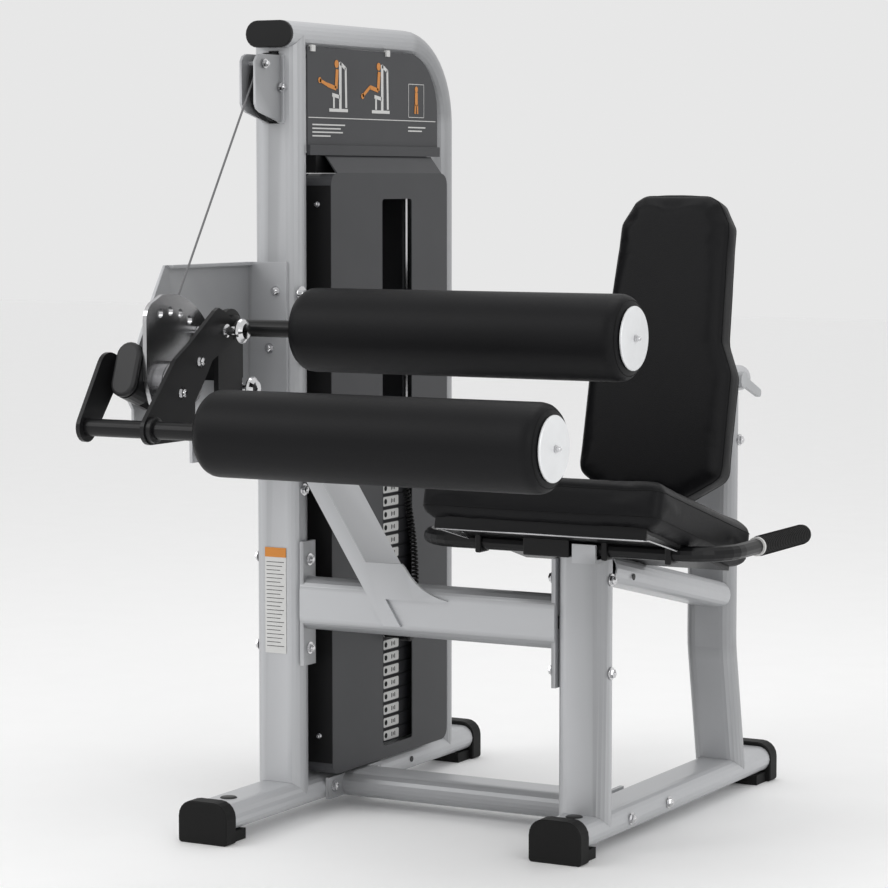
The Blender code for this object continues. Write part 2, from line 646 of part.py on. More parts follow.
def build_roller(name, span, centre, axis):
    turned(name + "_pad", roller_profile(*span), (0.0, *centre), PAD, axis, steps=44, closed=True)
    dome = [(0.0, span[1] + GAP), (CAP_R, span[1] + GAP), (CAP_R, span[1] + CAP_THICK - 0.0015),
            (CAP_R - 0.0015, span[1] + CAP_THICK), (0.0, span[1] + CAP_THICK + 0.001)]
    turned(name + "_cap", dome, (0.0, *centre), BRUSHED, axis, steps=44)


def build_pull_pin(name, tip, shoulder, head, centre, pivot="root"):
    """Sprung pull pin: thin nose, collar and a round knob at its outer end."""
    nose, collar, neck, knob = 0.0062, 0.0120, 0.0080, 0.0225
    profile = [(0.0, tip), (nose, tip), (nose, shoulder), (collar, shoulder),
               (collar, shoulder + 0.005), (neck, shoulder + 0.007), (neck, head),
               (0.012, head), (knob - 0.002, head + 0.004), (knob, head + 0.008),
               (knob - 0.002, head + 0.012), (0.014, head + 0.017), (0.0, head + 0.019)]
    turned(name, profile, (0.0, *centre), CHROME, pivot, steps=28)


# ---------------------------------------------------------------- thigh pad and its slide
POST_X, POST_Y, POST_Z = (-0.0450, -0.0050), (-0.2150, -0.1650), (0.7000, 0.9300)
SLEEVE_Z = (0.715, 0.842)
THIGH_PIN_Y, THIGH_PIN_Z = -0.180, 0.827


def build_thigh_arm():
    arm_outline = arc((THIGH_Y, THIGH_Z), 0.034, 0.0, 180.0, 10)
    arm_outline += [(THIGH_Y - 0.034, 0.915), (-0.290, 0.893), (-0.290, 0.805),
                    (-0.282, 0.799), (-0.216, 0.799), (-0.211, 0.804)]
    arm = plate("thigh_arm", arm_outline, "YZ", 0.035, 0.045, BLACK, "thigh_axis")
    post = box("thigh_post", (POST_X[0], POST_Y[0], POST_Z[0]), (POST_X[1], POST_Y[1], POST_Z[1]),
               pivot="thigh_axis")
    spacer = box("thigh_spacer", (POST_X[1] - 0.004, -0.224, 0.848), (0.040, -0.200, 0.928),
                 pivot="thigh_axis")
    boolean(arm, spacer, "UNION")
    boolean(arm, post, "UNION")
    bore = rod("thigh_shaft_bore", "X", 0.02, 0.06, (THIGH_Y, THIGH_Z), ROLLER_SHAFT_R + GAP,
               pivot="thigh_axis")
    boolean(arm, bore)
    rod("thigh_shaft", "X", 0.033, THIGH_ROLLER_X[1] - 0.004, (THIGH_Y, THIGH_Z), ROLLER_SHAFT_R, BLACK,
        "thigh_axis", edge=0.001)

    clearance, wall = 0.0006, 0.0064
    sleeve = box("thigh_guide", (SIDE_PLATE_X[1] + GAP, POST_Y[0] - wall, SLEEVE_Z[0]),
                 (POST_X[1] + wall, POST_Y[1] + wall, SLEEVE_Z[1]), SILVER)
    hollow = box("guide_hollow", (POST_X[0] - clearance, POST_Y[0] - clearance, 0.5),
                 (POST_X[1] + clearance, POST_Y[1] + clearance, 1.0))
    boss = rod("guide_boss", "X", POST_X[1] + 0.003, 0.018, (THIGH_PIN_Y, THIGH_PIN_Z), 0.0110)
    pin_bore = rod("guide_pin_bore", "X", -0.004, 0.05, (THIGH_PIN_Y, THIGH_PIN_Z),
                   0.0062 + GAP, segments=20)
    boolean(sleeve, boss, "UNION")
    boolean(sleeve, hollow)
    boolean(sleeve, pin_bore)


# ---------------------------------------------------------------- pulleys and cable
def pulley_profile():
    half = 0.0090
    root = PULLEY_R - CABLE_R - 0.0008
    return [(0.0057, -half), (PULLEY_RIM, -half), (PULLEY_RIM, -half + 0.002), (root, -0.0024),
            (root, 0.0024), (PULLEY_RIM, half - 0.002), (PULLEY_RIM, half), (0.0057, half)]


def build_pulleys():
    for name, y in (("front_pulley", FRONT_PULLEY_Y), ("inner_pulley", INNER_PULLEY_Y)):
        turned(name, pulley_profile(), (0.0, y, PULLEY_Z), NYLON, name + "_axis", steps=40,
               closed=True)
    cheek = [(-0.0253, 1.311), (-0.0253, 1.436), (-0.098, 1.436), (-0.109, 1.432), (-0.116, 1.422),
             (-0.116, 1.345), (-0.110, 1.335), (-0.098, 1.329)]
    bracket = plate("front_pulley_bracket", cheek, "YZ", 0.0125, 0.0175, SILVER)
    other = plate("bracket_far_cheek", cheek, "YZ", -0.0175, -0.0125)
    back = box("bracket_back", (-0.0240, -0.0310, 1.311), (0.0240, -0.0253, 1.436))
    window = box("bracket_window", (-0.0110, -0.06, 1.300), (0.0110, -0.01, 1.450))
    boolean(bracket, other, "UNION")
    boolean(bracket, back, "UNION")
    boolean(bracket, window)
    for name, y, z, radius in (("front_pulley_axle", FRONT_PULLEY_Y, PULLEY_Z, 0.0050),
                               ("cable_keeper", -0.0885, 1.4185, 0.0043)):
        axle = rod(name, "X", -0.0205, 0.0205, (y, z), radius, segments=20)
        boolean(bracket, axle, "UNION")

    hanger = box("inner_pulley_hanger", (-0.0175, INNER_PULLEY_Y - 0.020, 1.4430),
                 (0.0175, INNER_PULLEY_Y + 0.020, TOWER_TOP - TUBE_THICK - GAP), SILVER)
    for side, low in (("near", 0.0125), ("far", -0.0175)):
        cheek = box("hanger_cheek_" + side, (low, INNER_PULLEY_Y - 0.020, PULLEY_Z - 0.020),
                    (low + 0.005, INNER_PULLEY_Y + 0.020, 1.4440))
        boolean(hanger, cheek, "UNION")
    pin = rod("hanger_pin", "X", -0.0200, 0.0200, (INNER_PULLEY_Y, PULLEY_Z), 0.0050, segments=20)
    boolean(hanger, pin, "UNION")


def cable_line():
    """The cable's middle line: from the stack, over both pulleys and down round the cam."""
    reach_y, reach_z = PIVOT_Y - FRONT_PULLEY_Y, PIVOT_Z - PULLEY_Z
    heading = atan2(reach_z, reach_y)
    lean = acos((PULLEY_R - CABLE_PATH_R) / hypot(reach_y, reach_z))
    leave = ((heading - lean) % (2 * pi)) / pi * 180.0
    line = [(0.0, STACK_Y, 0.640), (0.0, STACK_Y, 1.0)]
    line += [(0.0, y, z) for y, z in arc((INNER_PULLEY_Y, PULLEY_Z), PULLEY_R, 0.0, 90.0, 8)]
    line += [(0.0, y, z) for y, z in arc((FRONT_PULLEY_Y, PULLEY_Z), PULLEY_R, 90.0, leave, 6)]
    return line + [(0.0, *from_pivot(CABLE_PATH_R, leave + (WRAP_END - leave) * step / 14))
                   for step in range(15)]


# ---------------------------------------------------------------- weight stack and covers
def stack_block(name, low, count, material=IRON):
    """A pile of plates: one body with a groove between neighbours."""
    groove, depth = 0.0030, 0.0025
    right, left = [], []
    for index in range(count):
        bottom = low + index * PLATE_PITCH + (GAP if index == 0 else groove / 2)
        top = low + (index + 1) * PLATE_PITCH - (GAP if index == count - 1 else groove / 2)
        right += [(STACK_X, bottom), (STACK_X, top)]
        left += [(-STACK_X, bottom), (-STACK_X, top)]
        if index < count - 1:
            right += [(STACK_X - depth, top), (STACK_X - depth, top + groove)]
            left += [(-STACK_X + depth, top), (-STACK_X + depth, top + groove)]
    block = plate(name, right + left[::-1], "XZ", STACK_Y - STACK_HALF_Y, STACK_Y + STACK_HALF_Y,
                  material, "stack_guide")
    return block


def build_stack():
    joint = STACK_LOW + RESTING * PLATE_PITCH
    head = joint + LIFTED * PLATE_PITCH
    resting = stack_block("resting_plates", STACK_LOW, RESTING)
    lifted = stack_block("lifted_plates", joint, LIFTED)
    top = box("head_plate", (-STACK_X, STACK_Y - STACK_HALF_Y, head + GAP),
              (STACK_X, STACK_Y + STACK_HALF_Y, head + HEAD_THICK), IRON, "stack_guide",
              edge=0.003)
    base = box("stack_base", (-0.045, STACK_Y - ROD_OFFSET, SHROUD_Z[0] + 0.0036),
               (0.045, STACK_Y + ROD_OFFSET, STACK_LOW - GAP), PALE, edge=0.008)
    pedestal = box("stack_pedestal", (-0.0190, STACK_Y - 0.190, BASE_TOP + GAP),
                   (0.0190, STACK_Y + 0.190, SHROUD_Z[0] + 0.012))
    boolean(base, pedestal, "UNION")
    bar = box("guide_top_bar", (-0.0185, TUBE_THICK / 2 + GAP, TOP_BAR_Z[0]),
              (0.0185, TOWER_REAR_Y - TUBE_THICK / 2 - GAP, TOP_BAR_Z[1]), SILVER, edge=0.002)
    boolean(bar, rod("cable_hole", "Z", 1.1, 1.3, (0.0, STACK_Y), 0.0080, segments=20))
    for side in (-1, 1):
        y = STACK_Y + side * ROD_OFFSET
        suffix = "front" if side < 0 else "rear"
        guide_bore = rod("guide_bore_" + suffix, "Z", 0.09, 0.8, (0.0, y), ROD_R + 0.001,
                         segments=20)
        for block in (resting, lifted, top):
            boolean(block, guide_bore)
        rod("guide_rod_" + suffix, "Z", STACK_LOW, TOP_BAR_Z[0] - GAP, (0.0, y), ROD_R, CHROME,
            segments=20)
    selector_bore = rod("selector_bore", "Z", 0.09, 0.8, (0.0, STACK_Y), 0.0125, segments=20)
    for block in (resting, lifted, top):
        boolean(block, selector_bore)
    spine = rod("selector_rod", "Z", STACK_LOW + 0.004, head + HEAD_THICK + 0.012,
                (0.0, STACK_Y), 0.0115, CHROME, "stack_guide", segments=20)
    boolean(spine, rod("selector_rod_bore", "Z", 0.05, 0.9, (0.0, STACK_Y), 0.0040, segments=12))

    pin_z = joint + 0.5 * PLATE_PITCH
    pin_hole = rod("selector_pin_hole", "X", 0.018, 0.10, (STACK_Y, pin_z), 0.0055, segments=16)
    boolean(lifted, pin_hole)
    profile = [(0.0, 0.020), (0.0045, 0.020), (0.0050, 0.024), (0.0050, 0.0610), (0.0105, 0.0620),
               (0.0105, 0.094), (0.0140, 0.096), (0.0140, 0.116), (0.0110, 0.120), (0.0, 0.120)]
    turned("selector_pin", profile, (0.0, STACK_Y, pin_z), BLACK, "stack_guide", steps=24)
    hang = [(0.0620, 0.302, 0.636), (0.0780, 0.304, 0.634), (0.0890, 0.310, 0.618),
            (0.0930, 0.318, 0.575), (0.1000, 0.326, 0.500), (0.1050, 0.325, 0.440),
            (0.1060, 0.322, 0.400), (0.1060, 0.310, 0.370), (0.1060, 0.292, 0.352),
            (0.1060, 0.287, pin_z + 0.0185)]
    round_tube("selector_lanyard", hang, 0.0080, RUBBER, "stack_guide", 2)


def shroud(name, side):
    """Half of the stack's cover: a shallow tray open towards the stack."""
    low_x, high_x = sorted((side * SHROUD_X[0], side * SHROUD_X[1]))
    mesh = bpy.data.meshes.new(name)
    shape = bmesh.new()
    bmesh.ops.create_cube(shape, size=1.0)
    size = Vector((high_x - low_x, SHROUD_Y[1] - SHROUD_Y[0], SHROUD_Z[1] - SHROUD_Z[0]))
    bmesh.ops.scale(shape, vec=size, verts=shape.verts)
    open_faces = [face for face in shape.faces if face.normal.x * side < -0.5]
    bmesh.ops.delete(shape, geom=open_faces, context="FACES_ONLY")
    rounded = [edge for edge in shape.edges
               if len(edge.link_faces) == 2 and abs(edge.verts[0].co.x - edge.verts[1].co.x) > 0.01]
    bmesh.ops.bevel(shape, geom=rounded, offset=0.022, segments=5, affect="EDGES", profile=0.5)
    shape.to_mesh(mesh)
    shape.free()
    smooth(mesh)
    place = ((low_x + high_x) / 2, (SHROUD_Y[0] + SHROUD_Y[1]) / 2,
             (SHROUD_Z[0] + SHROUD_Z[1]) / 2)
    piece = link(name, mesh, place, Matrix.Identity(3), SHROUD, "root")
    wall = piece.modifiers.new("sheet", "SOLIDIFY")
    wall.thickness = 0.0028
    wall.offset = -1.0
    return piece


def build_covers():
    front = shroud("stack_cover_near", 1)
    slot = box("pin_slot", (0.05, SLOT_Y[0], SLOT_Z[0]), (0.12, SLOT_Y[1], SLOT_Z[1]), edge=0.006)
    boolean(front, slot)
    shroud("stack_cover_far", -1)
    hood = plate("cover_hood", [(0.0747, 1.2140), (0.0775, 1.2140), (0.0775, 1.2190),
                                (0.0528, 1.2512), (0.0500, 1.2512), (0.0747, 1.2176)],
                 "XZ", 0.0745, 0.4835)
    boolean(front, hood, "UNION")
    outline = [(0.0131, 1.258), (0.516, 1.258), *arc((0.401, 1.338), 0.115, 0.0, 90.0, 8),
               (0.0131, 1.453)]
    panel = plate("placard_panel", outline, "YZ", 0.0465, 0.0500, SHROUD)
    lip = box("placard_lip", (0.0475, 0.0131, 1.2520), (0.0560, 0.516, 1.2710))
    boolean(panel, lip, "UNION")


# ---------------------------------------------------------------- seat, handle and backrest
def tilted(place, offset, tilt):
    """A point moved along a piece's own Y and Z after tilting about X."""
    turn = Matrix.Rotation(tilt, 3, "X")
    return Vector(place) + turn @ Vector(offset)


def build_seat():
    turn = Matrix.Rotation(-SEAT_TILT, 3, "X")
    half = Vector(SEAT_SIZE) / 2
    middle = tilted(SEAT_TOP_MID, (0, 0, -half.z), -SEAT_TILT)
    pad = box("seat_pad", middle - half, middle + half, PAD, turn=turn)
    bevel(pad, 0.018, 3)
    board_half = Vector((0.205, 0.185, 0.005))
    board_mid = tilted(SEAT_TOP_MID, (0, -0.004, -SEAT_SIZE[2] - board_half.z - GAP), -SEAT_TILT)
    board = box("seat_board", board_mid - board_half, board_mid + board_half, BLACK, turn=turn)
    rim_half = Vector((board_half.x, 0.002, 0.009))
    rim_mid = tilted(board_mid, (0, 0.002 - board_half.y, -0.008), -SEAT_TILT)
    rim = box("seat_board_rim", rim_mid - rim_half, rim_mid + rim_half, turn=turn)
    boolean(board, rim, "UNION")
    boolean(board, build_rail_cutter())
    for index, x in enumerate((0.447, 0.698, 0.821)):
        strap = box("bar_strap_%d" % index, (x - 0.006, HANDLE_Y - 0.0185, HANDLE_Z - 0.0185),
                    (x + 0.006, HANDLE_Y + 0.0185, 0.575), edge=0.003)
        boolean(board, strap, "UNION")
    bracket = box("bar_bracket", (0.540, HANDLE_Y - 0.0225, HANDLE_Z - 0.0165),
                  (0.632, HANDLE_Y + 0.0100, 0.575), edge=0.003)
    boolean(board, bracket, "UNION")
    boolean(board, box("upright_room", (SEAT_X - 0.060, -0.0300, 0.4), (SEAT_X + 0.060, 0.030, 0.5385)))
    bar_room = round_tube("bar_room", handle_line(), HANDLE_R + 0.0005, None, resolution=4)
    boolean(board, bar_room)
    room_half = Vector((0.260, 0.240, 0.050))
    room_mid = tilted(SEAT_TOP_MID, (0, 0, room_half.z - SEAT_SIZE[2] - GAP / 2), -SEAT_TILT)
    boolean(board, box("pad_room", room_mid - room_half, room_mid + room_half, turn=turn))


def build_rail_cutter():
    return oval_tube("seat_rail_cope", [RAIL_FRONT, RAIL_REAR], "YZ", SEAT_X, grow=GAP)


def handle_line():
    """Bar line: back along the left side, across the front, back along the right side."""
    low, high = HANDLE_X
    bend = HANDLE_BEND
    points = [(low, HANDLE_END_Y)]
    points += arc((low + bend, HANDLE_Y + bend), bend, 180.0, 270.0, 8)
    points += arc((high - bend, HANDLE_Y + bend), bend, 270.0, 360.0, 8)
    points += [(high, HANDLE_END_Y)]
    return [(x, y, HANDLE_Z) for x, y in points]


def build_handle():
    round_tube("handle_bar", handle_line(), HANDLE_R, BLACK, resolution=4)
    for side, x in (("left", HANDLE_X[0]), ("right", HANDLE_X[1])):
        grip = rod("handle_grip_" + side, "Y", *GRIP_Y, (x, HANDLE_Z), 0.0178, RUBBER, edge=0.004)
        bore = rod("grip_bore_" + side, "Y", 0.0, HANDLE_END_Y + 0.001, (x, HANDLE_Z),
                   HANDLE_R + 0.0005)
        boolean(grip, bore)


def backrest_outline():
    """Waisted pad outline, as offsets from the backrest's middle, up its own plane."""
    half = [(0.080, -0.306), (0.097, -0.294), (0.154, -0.259), (0.154, -0.062), (0.150, -0.049),
            (0.128, 0.003), (0.127, 0.019), (0.123, 0.108), (0.116, 0.231), (0.089, 0.276),
            (0.068, 0.288)]
    return half + [(-x, y) for x, y in half[::-1]]


def build_backrest():
    guide = PIVOTS["backrest_guide"][1]
    tilt = Matrix.Rotation(-BACK_TILT, 3, "X") @ PLANES["XZ"]
    pad = plate("backrest_pad", backrest_outline(), "XZ", -BACK_THICK / 2, BACK_THICK / 2, PAD,
                "backrest_guide")
    bevel(pad, 0.016, 2)
    pad.location = Vector(BACK_MID) - guide
    pad.rotation_euler = tilt.to_euler()

    turn = Matrix.Rotation(-BACK_TILT, 3, "X")
    back_half = Vector((0.075, 0.004, 0.150))
    back_mid = tilted(BACK_MID, (0, BACK_THICK / 2 + back_half.y + GAP, -0.060), -BACK_TILT)
    carriage = box("backrest_carriage", back_mid - back_half, back_mid + back_half, BLACK,
                   "backrest_guide", turn=turn)
    bar = box("backrest_slide_bar", (SEAT_X - 0.0280, back_mid.y - 0.001, SLIDE_Z - 0.018),
              (SEAT_X + 0.0280, 0.660, SLIDE_Z + 0.018), pivot="backrest_guide")
    boolean(carriage, bar, "UNION")

    lever_x = SEAT_X + TUBE_WIDE / 2 + GAP
    axis = (PIVOTS["backrest_lever_axis"][1].y, SLIDE_Z)
    lever = rod("backrest_lever", "X", lever_x, lever_x + 0.012, axis, 0.0165, PALE,
                "backrest_lever_axis", edge=0.001)
    outline = belt([(*axis, 0.010), (0.652, SLIDE_Z - 0.030, 0.008)][::-1])
    arm = plate("backrest_lever_arm", outline, "YZ", lever_x + 0.002, lever_x + 0.010, None,
                "backrest_lever_axis")
    boolean(lever, arm, "UNION")


# ---------------------------------------------------------------- build everything
def build_machine():
    build_frame()
    build_cross_tubes()
    build_side_plate()
    build_brace()
    rod("pivot_shaft", "X", -0.0750, 0.0580, (PIVOT_Y, PIVOT_Z), PIVOT_SHAFT_R, CHROME,
        edge=0.001)
    build_cam()
    build_lever_tube()
    build_ankle_lever()
    build_roller("ankle_roller", ANKLE_ROLLER_X, (ANKLE_Y, ANKLE_Z), "ankle_axis")
    build_pull_pin("start_pull_pin", SECTOR_X[1] + 0.0005, 0.0703, 0.099,
                   from_pivot(HOLE_CIRCLE, HOLE_FIRST), "lever_axis")
    build_thigh_arm()
    build_roller("thigh_roller", THIGH_ROLLER_X, (THIGH_Y, THIGH_Z), "thigh_axis")
    build_pull_pin("thigh_pull_pin", POST_X[1] + 0.0012, 0.0185, 0.040, (THIGH_PIN_Y, THIGH_PIN_Z))
    build_pulleys()
    round_tube("weight_cable", cable_line(), CABLE_R, CABLE, resolution=2)
    build_stack()
    build_covers()
    build_seat()
    build_handle()
    build_backrest()


build_machine()
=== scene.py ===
"""Looks of the seated leg curl machine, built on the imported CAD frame."""
import json
import math

import bmesh
import bpy
from mathutils import Matrix, Vector


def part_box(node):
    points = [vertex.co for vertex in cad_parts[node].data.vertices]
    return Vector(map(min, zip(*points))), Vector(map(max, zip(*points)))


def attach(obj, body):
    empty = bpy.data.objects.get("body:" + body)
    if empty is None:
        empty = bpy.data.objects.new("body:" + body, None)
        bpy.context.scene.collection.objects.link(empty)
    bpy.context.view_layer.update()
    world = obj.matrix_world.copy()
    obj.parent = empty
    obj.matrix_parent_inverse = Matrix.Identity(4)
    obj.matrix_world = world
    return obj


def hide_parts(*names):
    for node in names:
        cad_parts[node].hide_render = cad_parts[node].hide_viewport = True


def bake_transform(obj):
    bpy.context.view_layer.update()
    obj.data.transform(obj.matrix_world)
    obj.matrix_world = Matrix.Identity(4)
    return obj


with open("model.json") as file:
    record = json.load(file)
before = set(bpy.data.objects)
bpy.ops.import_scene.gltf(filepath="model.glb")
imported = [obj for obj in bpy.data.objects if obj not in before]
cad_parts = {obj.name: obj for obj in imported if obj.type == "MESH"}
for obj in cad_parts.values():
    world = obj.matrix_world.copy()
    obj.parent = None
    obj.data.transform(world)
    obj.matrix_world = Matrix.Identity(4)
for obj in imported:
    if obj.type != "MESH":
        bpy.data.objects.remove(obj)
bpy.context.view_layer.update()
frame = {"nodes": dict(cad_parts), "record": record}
NODES = frame["nodes"]
SCENE = bpy.context.scene

# Places are in metres in the frame that the machine is modelled in: X = 0 is the tower's middle
# plane and Y = 0 the middle of both front uprights.  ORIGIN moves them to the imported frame.
ORIGIN = Vector((-0.42615, -0.0819, 0.0))
TOWER_SIDE = 0.0502                        # just off the tower's +X side
TOWER_FLANGE, SEAT_FLANGE = 0.0583, 0.5777
SEAT_X, SEAT_SIDE = 0.636, 0.6863
FLANGE_BOLTS_Z = (0.495, 0.327)
LOW_CROSS_BOLTS = ((0.090, 0.047), (0.255, 0.047))
SIDE_PLATE_Y = -0.0315                     # front face of the side plate's flange
STICKER_Y = -0.0255                        # just off the tower's front face
PLATE_PITCH, STACK_LOW, RESTING, PLATES = 0.0258, 0.1001, 8, 20
PIN_Y = 0.286
ANKLE, THIGH = (-0.540, 0.778), (-0.245, 0.941)
ANKLE_ENDS, THIGH_ENDS = (0.190, 0.838), (0.199, 0.840)
CAP_OUT = 0.0053                           # roller pad's end to the middle of its cap
SEAT_TOP, SEAT_TILT = (SEAT_X, 0.0175, 0.638), 16.2
BACK_MID, BACK_TILT = (SEAT_X, 0.345, 0.900), 13.5
GRIPS_X, HANDLE_Z = (0.305, 0.912), 0.555


def at(x, y, z):
    return Vector((x, y, z)) + ORIGIN


# ---------------------------------------------------------------- materials
def material(name, colour, rough, metal=0.0, grain=400.0, bump=0.05, spread=0.12,
             stretch=(1, 1, 1), vary=0.08, coat=0.0, cells=False, edge_lift=0.0, spec=0.5):
    """Surface with colour variation, roughness variation and a fine bump at real scale."""
    made = bpy.data.materials.new(name)
    made.use_nodes = True
    tree = made.node_tree
    shader = tree.nodes["Principled BSDF"]
    shader.inputs["Metallic"].default_value = metal
    shader.inputs["Coat Weight"].default_value = coat
    shader.inputs["Coat Roughness"].default_value = 0.15
    shader.inputs["Specular IOR Level"].default_value = spec
    where = tree.nodes.new("ShaderNodeTexCoord")
    place = tree.nodes.new("ShaderNodeMapping")
    place.inputs["Scale"].default_value = stretch
    tree.links.new(where.outputs["Object"], place.inputs["Vector"])
    broad = tree.nodes.new("ShaderNodeTexNoise")
    broad.inputs["Scale"].default_value = 9.0
    broad.inputs["Detail"].default_value = 5.0
    tree.links.new(where.outputs["Object"], broad.inputs["Vector"])
    fine = tree.nodes.new("ShaderNodeTexVoronoi" if cells else "ShaderNodeTexNoise")
    fine.inputs["Scale"].default_value = grain
    tree.links.new(place.outputs["Vector"], fine.inputs["Vector"])
    fine_value = fine.outputs["Distance"] if cells else fine.outputs[0]

    ramp = tree.nodes.new("ShaderNodeValToRGB")
    dark = [channel * (1 - vary) for channel in colour]
    light = [min(1.0, channel * (1 + vary)) for channel in colour]
    ramp.color_ramp.elements[0].position = 0.3
    ramp.color_ramp.elements[1].position = 0.7
    ramp.color_ramp.elements[0].color = (*dark, 1)
    ramp.color_ramp.elements[1].color = (*light, 1)
    tree.links.new(broad.outputs[0], ramp.inputs[0])
    colour_out = ramp.outputs[0]
    # Colour lightened on sharp convex edges, by pointiness.
    if edge_lift:
        edge = tree.nodes.new("ShaderNodeNewGeometry")
        edge_ramp = tree.nodes.new("ShaderNodeValToRGB")
        edge_ramp.color_ramp.elements[0].position = 0.52
        edge_ramp.color_ramp.elements[1].position = 0.60
        mix = tree.nodes.new("ShaderNodeMix")
        mix.data_type = "RGBA"
        mix.inputs[7].default_value = (*[min(1.0, c * 1.5 + edge_lift) for c in colour], 1)
        tree.links.new(edge.outputs["Pointiness"], edge_ramp.inputs[0])
        tree.links.new(edge_ramp.outputs[0], mix.inputs[0])
        tree.links.new(colour_out, mix.inputs[6])
        colour_out = mix.outputs[2]
    tree.links.new(colour_out, shader.inputs["Base Color"])

    span = tree.nodes.new("ShaderNodeMapRange")
    span.inputs["To Min"].default_value = max(0.03, rough - spread / 2)
    span.inputs["To Max"].default_value = min(1.0, rough + spread / 2)
    tree.links.new(fine_value, span.inputs["Value"])
    tree.links.new(span.outputs[0], shader.inputs["Roughness"])
    relief = tree.nodes.new("ShaderNodeBump")
    relief.inputs["Strength"].default_value = bump
    relief.inputs["Distance"].default_value = 0.0006
    tree.links.new(fine_value, relief.inputs["Height"])
    tree.links.new(relief.outputs[0], shader.inputs["Normal"])
    return made


M = {
    "silver_paint": material("silver_paint", (0.33, 0.335, 0.345), 0.40, 0.35, 1400, 0.10, 0.14,
                             vary=0.04, coat=0.15, edge_lift=0.02),
    "black_paint": material("black_paint", (0.0040, 0.0040, 0.0045), 0.34, 0.0, 900, 0.10, 0.12,
                            coat=0.0, edge_lift=0.004, spec=0.25),
    "shroud_grey": material("shroud_grey", (0.052, 0.053, 0.057), 0.46, 0.0, 1300, 0.18, 0.10,
                            vary=0.05, spec=0.3),
    "pad_vinyl": material("pad_vinyl", (0.0050, 0.0050, 0.0058), 0.46, 0.0, 620, 0.30, 0.14,
                          cells=True, spec=0.16),
    "rubber": material("rubber", (0.0070, 0.0070, 0.0070), 0.60, 0.0, 700, 0.25, 0.16, vary=0.15,
                       spec=0.2),
    "polished_steel": material("polished_steel", (0.50, 0.50, 0.51), 0.24, 1.0, 220, 0.05, 0.14,
                               stretch=(1, 1, 14)),
    "chrome": material("chrome", (0.66, 0.66, 0.67), 0.12, 1.0, 300, 0.01, 0.06, vary=0.02),
    "brushed_aluminium": material("brushed_aluminium", (0.82, 0.83, 0.84), 0.38, 0.45, 160, 0.08,
                                  0.20, stretch=(1, 1, 22)),
    "cast_iron": material("cast_iron", (0.012, 0.012, 0.014), 0.60, 0.1, 500, 0.45, 0.2,
                          edge_lift=0.006, spec=0.3),
    "nylon": material("nylon", (0.016, 0.016, 0.017), 0.44, 0.0, 600, 0.10, 0.1, spec=0.35),
    "cable_coat": material("cable_coat", (0.16, 0.16, 0.165), 0.36, 0.3, 900, 0.3, 0.1,
                           stretch=(1, 1, 0.2)),
    "pale_plastic": material("pale_plastic", (0.42, 0.43, 0.44), 0.44, 0.0, 700, 0.10, 0.1),
}
WHITE = material("label_white", (0.62, 0.62, 0.61), 0.42, 0.0, 800, 0.05, 0.1, vary=0.03)
ORANGE = material("label_orange", (0.60, 0.22, 0.028), 0.44, 0.0, 800, 0.05, 0.1, vary=0.05)
PLACARD = material("placard_print", (0.020, 0.020, 0.022), 0.34, 0.0, 900, 0.04, 0.08, spec=0.4)
# Painted shade: near-black for the cover's return, which is black and lies in shade, and for
# sheets that fill gaps where there is only shade.
SHADE = material("cover_black_and_painted_shade", (0.0045, 0.0045, 0.0050), 0.48, 0.0, 1300, 0.12, 0.1, spec=0.25)
THREAD = material("seam_thread", (0.0030, 0.0030, 0.0033), 0.62, 0.0, 1800, 0.4, 0.1, spec=0.2)
FLOOR = material("floor", (0.985, 0.985, 0.985), 0.70, 0.0, 40, 0.02, 0.1, vary=0.006, spec=0.2)

record_slots = {item["node"]: item["material_slot"] for item in frame["record"]["subparts"]}
for node, obj in NODES.items():
    obj.data.materials.clear()
    obj.data.materials.append(M[record_slots[node]])


def soften(obj, width, segments=3, angle=40.0):
    """Rounded edges and smooth shading on a carried-over CAD node."""
    bevel = obj.modifiers.new("rounding", "BEVEL")
    bevel.width = width
    bevel.segments = segments
    bevel.limit_method = "ANGLE"
    bevel.angle_limit = math.radians(angle)
    bevel.harden_normals = True


for node in ("ankle_plate_near", "ankle_plate_far", "thigh_arm", "pivot_side_plate",
             "pivot_brace", "front_pulley_bracket", "placard_panel", "arch_end_plug"):
    soften(NODES[node], 0.0009, 2)


# ---------------------------------------------------------------- piece helpers
def add(name, mesh, mat, body):
    """Piece from a mesh, with its material, body and slot."""
    obj = bpy.data.objects.new(name, mesh)
    SCENE.collection.objects.link(obj)
    mesh.materials.clear()
    mesh.materials.append(mat)
    if body:
        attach(obj, body)
    return obj


def from_bmesh(name, shape, mat, body, smooth=40.0):
    mesh = bpy.data.meshes.new(name)
    shape.to_mesh(mesh)
    shape.free()
    mesh.shade_smooth()
    mesh.set_sharp_from_angle(angle=math.radians(smooth))
    return add(name, mesh, mat, body)


TURN = {"X": Matrix.Rotation(math.pi / 2, 4, "Y"), "Y": Matrix.Rotation(-math.pi / 2, 4, "X"),
        "-X": Matrix.Rotation(-math.pi / 2, 4, "Y"), "-Y": Matrix.Rotation(math.pi / 2, 4, "X"),
        "Z": Matrix.Identity(4)}


def disc(shape, place, facing, radius, low, high, segments=24, top=None):
    """Cylinder or cone standing on a surface, from low to high along its facing."""
    move = Matrix.Translation(place) @ TURN[facing] @ Matrix.Translation((0, 0, (low + high) / 2))
    bmesh.ops.create_cone(shape, cap_ends=True, segments=segments, radius1=radius,
                          radius2=radius if top is None else top, depth=high - low, matrix=move)


def slab(shape, low, high):
    """Box between two corners in modelling coordinates."""
    low, high = at(*low), at(*high)
    size = high - low
    move = Matrix.Translation((low + high) / 2) @ Matrix.Diagonal((*size, 1.0))
    bmesh.ops.create_cube(shape, size=1.0, matrix=move)


